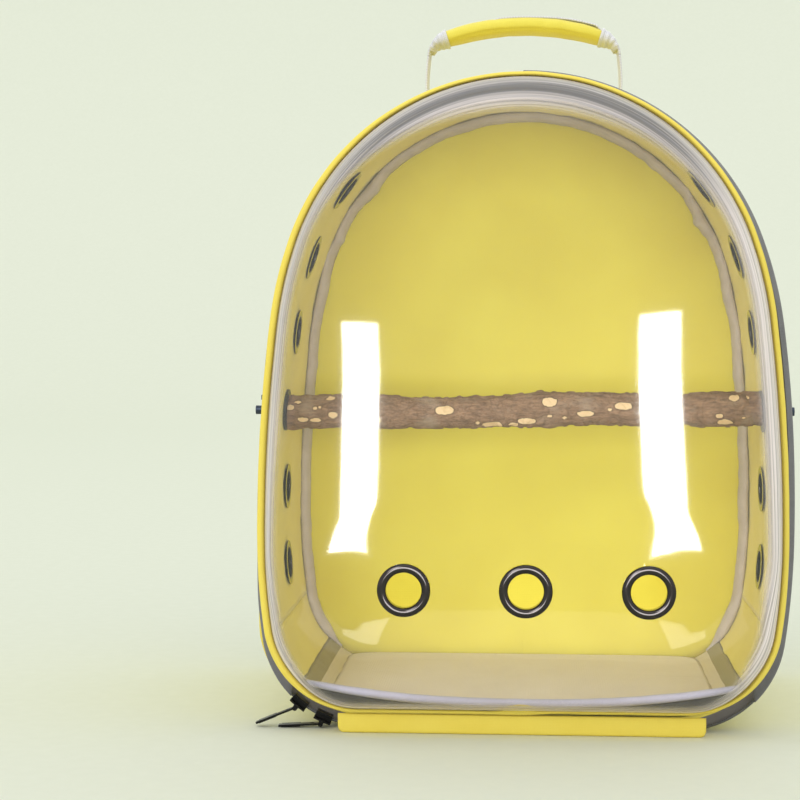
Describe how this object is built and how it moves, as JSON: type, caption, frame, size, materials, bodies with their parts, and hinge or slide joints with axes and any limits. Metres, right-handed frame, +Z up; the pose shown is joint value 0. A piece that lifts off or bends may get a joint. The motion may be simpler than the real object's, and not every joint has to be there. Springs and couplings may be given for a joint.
{
  "type": "bird travel carrier",
  "caption": "Arched fabric bird carrier with a clear domed door hinged at its foot, an inner branch perch, a top handle and shoulder straps.",
  "frame": {"origin": "centre of the flat underside, on the ground", "axes": "+X to the viewer's right, +Y from the clear door to the back pad, +Z up"},
  "size_m": [0.3608, 0.2984, 0.462],
  "materials": {
    "yellow_fabric": "plain woven polyester, padded",
    "yellow_binding": "woven binding tape",
    "grey_tape": "twill tape",
    "grey_seam_tape": "folded binding tape",
    "zip_coil": "nylon coil",
    "clear_film": "clear formed film, glossy",
    "gunmetal": "black nickel plate, polished",
    "bark_wood": "branch with its bark on",
    "dark_steel": "dark zinc plate",
    "black_metal": "black lacquer, satin",
    "mat_cloth": "beige plain woven cloth over board",
    "lip_cloth": "lavender grey binding",
    "silver_webbing": "woven webbing",
    "grip_cloth": "yellow cloth sleeve, padded",
    "back_mesh": "padded air mesh",
    "black_plastic": "moulded acetal"
  },
  "bodies": {
    "shell": {"side_band": "yellow_fabric", "base_panel": "yellow_fabric", "back_panel": "yellow_fabric", "hinge_strip": "yellow_fabric", "front_piping": "yellow_binding", "rear_piping": "yellow_binding", "zip_tape_body": "grey_tape", "back_seam_tape": "grey_seam_tape", "zip_coil_body": "zip_coil", "eyelets_left": "gunmetal", "eyelets_right": "gunmetal", "eyelet_washers_left": "gunmetal", "eyelet_washers_right": "gunmetal", "perch": "bark_wood", "perch_stud_left": "dark_steel", "perch_stud_right": "dark_steel", "perch_washers_inner": "dark_steel", "perch_washers_outer": "dark_steel", "slider_lower": "black_metal", "floor_mat": "mat_cloth", "front_lip": "lip_cloth", "handle_leg_left": "silver_webbing", "handle_leg_right": "silver_webbing", "strap_webbing_left": "silver_webbing", "strap_webbing_right": "silver_webbing", "back_pad": "back_mesh", "strap_pad_left": "back_mesh", "strap_pad_right": "back_mesh", "strap_yoke": "back_mesh", "anchor_tab_left": "back_mesh", "anchor_tab_right": "back_mesh", "ladder_lock_left": "black_plastic", "ladder_lock_right": "black_plastic"},
    "door": {"dome_window": "clear_film", "door_ring": "yellow_binding", "zip_tape_door": "grey_tape", "zip_coil_door": "zip_coil", "window_eyelets": "gunmetal", "window_eyelet_washers": "gunmetal"},
    "zip_slider": {"slider_upper": "black_metal"},
    "slider_pull": {"pull_upper": "black_metal"},
    "parked_pull": {"pull_lower": "black_metal"},
    "left_nut": {"wing_nut_left": "dark_steel"},
    "right_nut": {"wing_nut_right": "dark_steel"},
    "handle": {"handle_grip": "grip_cloth", "handle_webbing": "silver_webbing"}
  },
  "joints": [
    {"name": "door_hinge", "type": "hinge", "parent": "shell", "child": "door", "pos_m": [0, -0.1228, 0.013], "axis": [1, 0, 0], "range_deg": [0, 55]},
    {"name": "slider_travel", "type": "hinge", "parent": "shell", "child": "zip_slider", "pos_m": [-0.09955, -0.1079, 0.0655], "axis": [0, 1, 0], "range_deg": [0, 37]},
    {"name": "upper_pull_hinge", "type": "hinge", "parent": "zip_slider", "child": "slider_pull", "pos_m": [-0.14318, -0.1079, 0.01257], "axis": [0, 1, 0], "range_deg": [0, 60]},
    {"name": "lower_pull_hinge", "type": "hinge", "parent": "shell", "child": "parked_pull", "pos_m": [-0.1269, -0.1079, 0.00259], "axis": [0, 1, 0], "range_deg": [0, 8]},
    {"name": "left_nut_turn", "type": "hinge", "parent": "shell", "child": "left_nut", "pos_m": [-0.17, -0.02, 0.19741], "axis": [1, 0, 0], "continuous": true},
    {"name": "right_nut_turn", "type": "hinge", "parent": "shell", "child": "right_nut", "pos_m": [0.17, -0.02, 0.19741], "axis": [1, 0, 0], "continuous": true},
    {"name": "handle_drop", "type": "slide", "parent": "shell", "child": "handle", "axis": [0, 0, 1], "range_m": [-0.022, 0], "deforming": ["handle_leg_left", "handle_leg_right"]}
  ]
}
